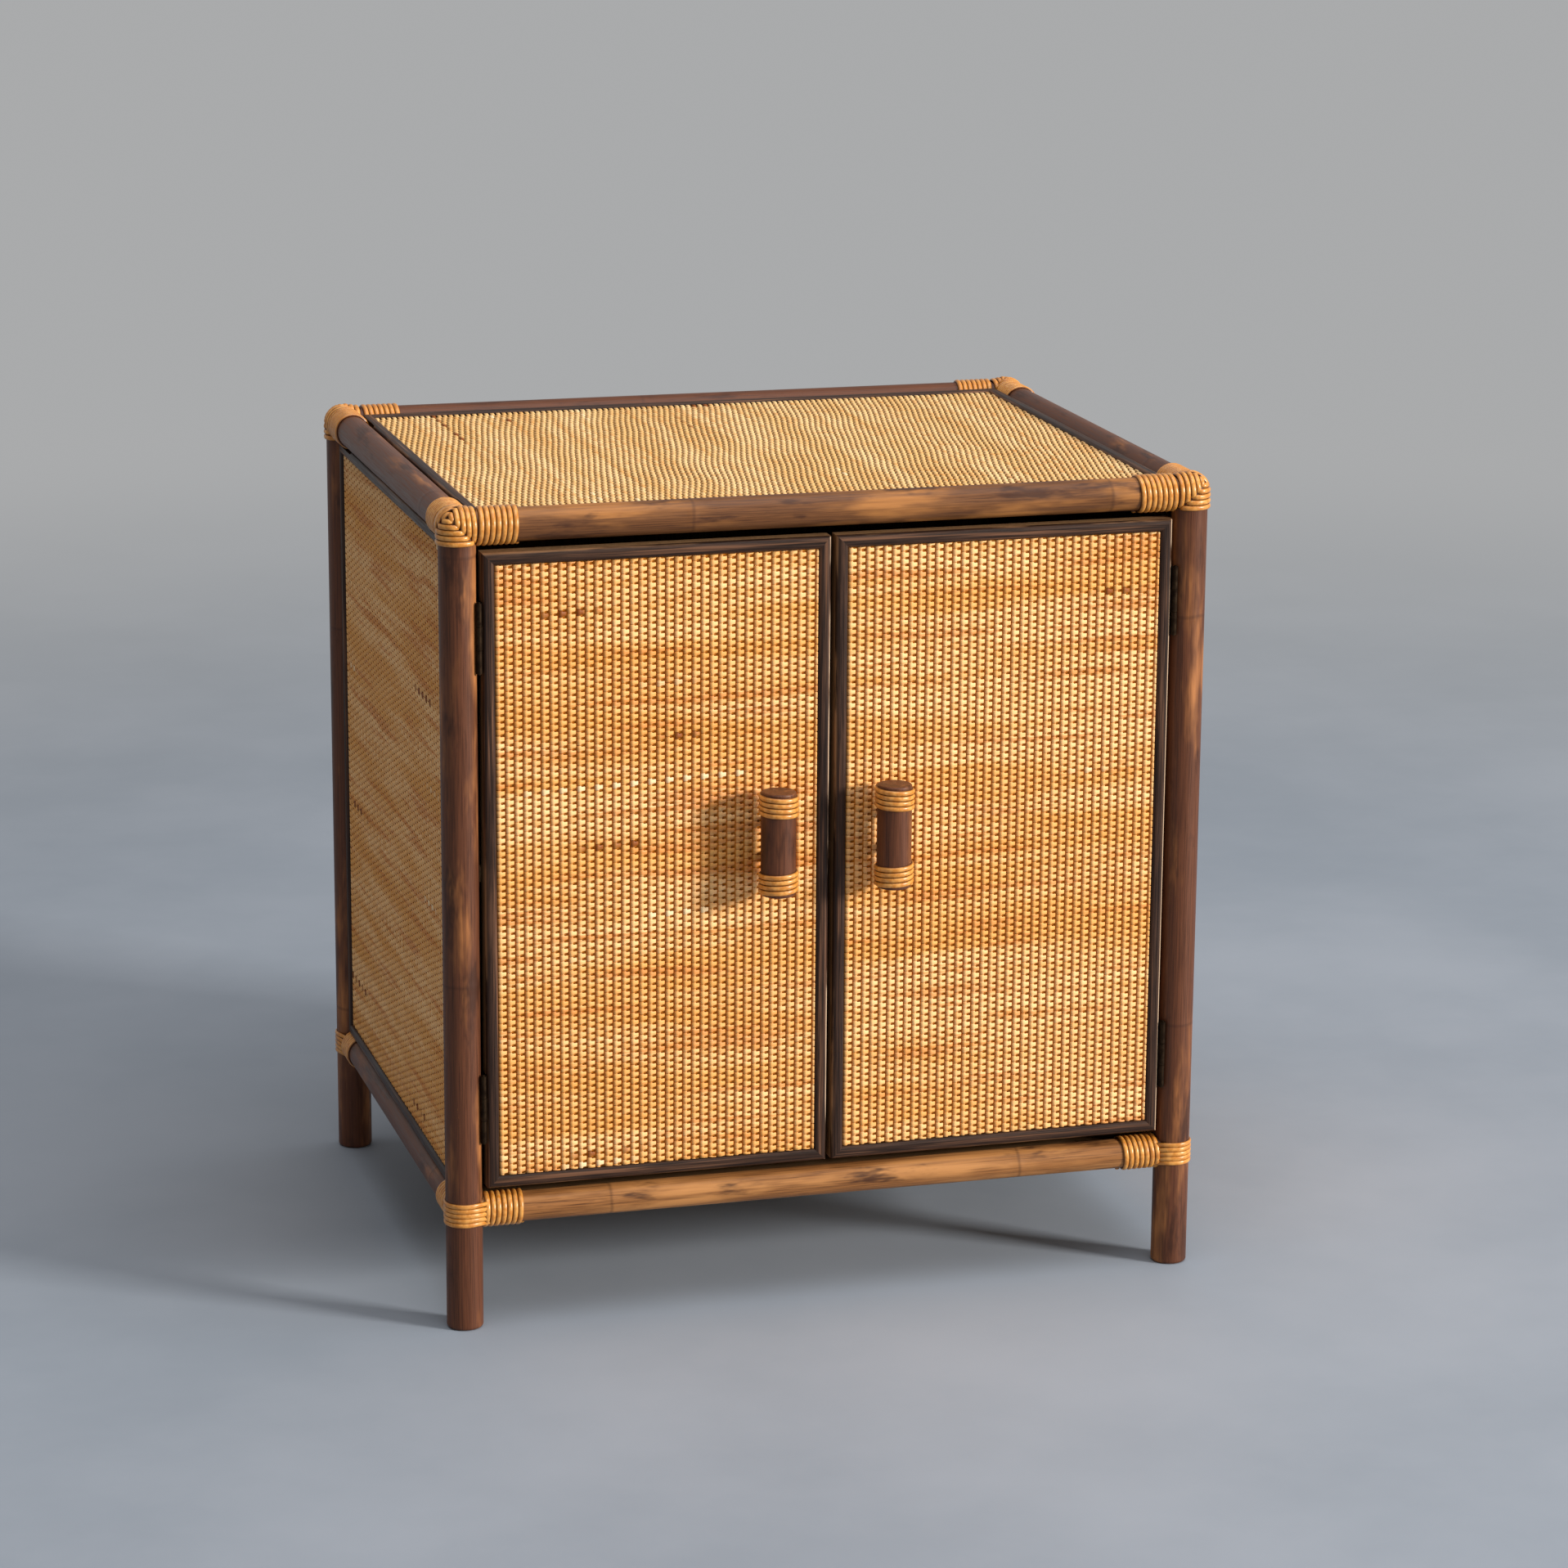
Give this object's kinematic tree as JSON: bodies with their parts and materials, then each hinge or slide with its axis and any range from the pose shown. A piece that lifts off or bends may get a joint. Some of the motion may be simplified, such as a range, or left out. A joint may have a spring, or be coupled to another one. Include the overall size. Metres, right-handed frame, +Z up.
{
  "type": "two-door cane side cabinet",
  "caption": "Free-standing side cabinet of stained poles with woven cane panels, cane-bound corners, hinged doors with pole handles, and a shelf inside.",
  "frame": {"origin": "on the floor under the middle of the whole box, handles included", "axes": "+Z up, front with the doors faces -Y, +X to the right seen from the front"},
  "size_m": [0.5706, 0.4822, 0.6024],
  "materials": {
    "stained_pole": "satin brown stain on cane pole",
    "dark_moulding": "satin near-black brown stain",
    "binding_cane": "lacquered natural cane",
    "woven_cane": "lacquered natural cane weave",
    "plywood": "stained plywood",
    "dowel_wood": "plain turned dowel",
    "hinge_metal": "dark antique brass",
    "catch_metal": "plated steel"
  },
  "bodies": {
    "cabinet": {"back_beading": "dark_moulding", "back_board": "plywood", "back_mat": "woven_cane", "bottom_board": "plywood", "bottom_corner_binding_back_left": "binding_cane", "bottom_corner_binding_back_right": "binding_cane", "bottom_corner_binding_front_left": "binding_cane", "bottom_corner_binding_front_right": "binding_cane", "bottom_rail_back": "stained_pole", "bottom_rail_front": "stained_pole", "bottom_rail_left": "stained_pole", "bottom_rail_right": "stained_pole", "catch_magnets": "catch_metal", "hinge_pins": "hinge_metal", "left_side_beading": "dark_moulding", "left_side_board": "plywood", "left_side_mat": "woven_cane", "post_back_left": "stained_pole", "post_back_right": "stained_pole", "post_front_left": "stained_pole", "post_front_right": "stained_pole", "post_hinge_leaves": "hinge_metal", "rail_dowels": "dowel_wood", "right_side_beading": "dark_moulding", "right_side_board": "plywood", "right_side_mat": "woven_cane", "shelf": "plywood", "shelf_cleats": "plywood", "top_beading": "dark_moulding", "top_board": "plywood", "top_corner_binding_back_left": "binding_cane", "top_corner_binding_back_right": "binding_cane", "top_corner_binding_front_left": "binding_cane", "top_corner_binding_front_right": "binding_cane", "top_mat": "woven_cane", "top_rail_back": "stained_pole", "top_rail_front": "stained_pole", "top_rail_left": "stained_pole", "top_rail_right": "stained_pole"},
    "left_door": {"left_door_board": "plywood", "left_door_handle": "stained_pole", "left_door_handle_bindings": "binding_cane", "left_door_handle_pegs": "dowel_wood", "left_door_hinge_leaves": "hinge_metal", "left_door_mat": "woven_cane", "left_door_moulding": "dark_moulding", "left_door_strike_plate": "catch_metal"},
    "right_door": {"right_door_board": "plywood", "right_door_handle": "stained_pole", "right_door_handle_bindings": "binding_cane", "right_door_handle_pegs": "dowel_wood", "right_door_hinge_leaves": "hinge_metal", "right_door_mat": "woven_cane", "right_door_moulding": "dark_moulding", "right_door_strike_plate": "catch_metal"}
  },
  "joints": [
    {"name": "left_door_hinge", "type": "hinge", "parent": "cabinet", "child": "left_door", "pos_m": [-0.25695, -0.20342, 0.33], "axis": [0, 0, 1], "range_deg": [-110, 0]},
    {"name": "right_door_hinge", "type": "hinge", "parent": "cabinet", "child": "right_door", "pos_m": [0.25695, -0.20342, 0.33], "axis": [0, 0, 1], "range_deg": [0, 110]}
  ]
}
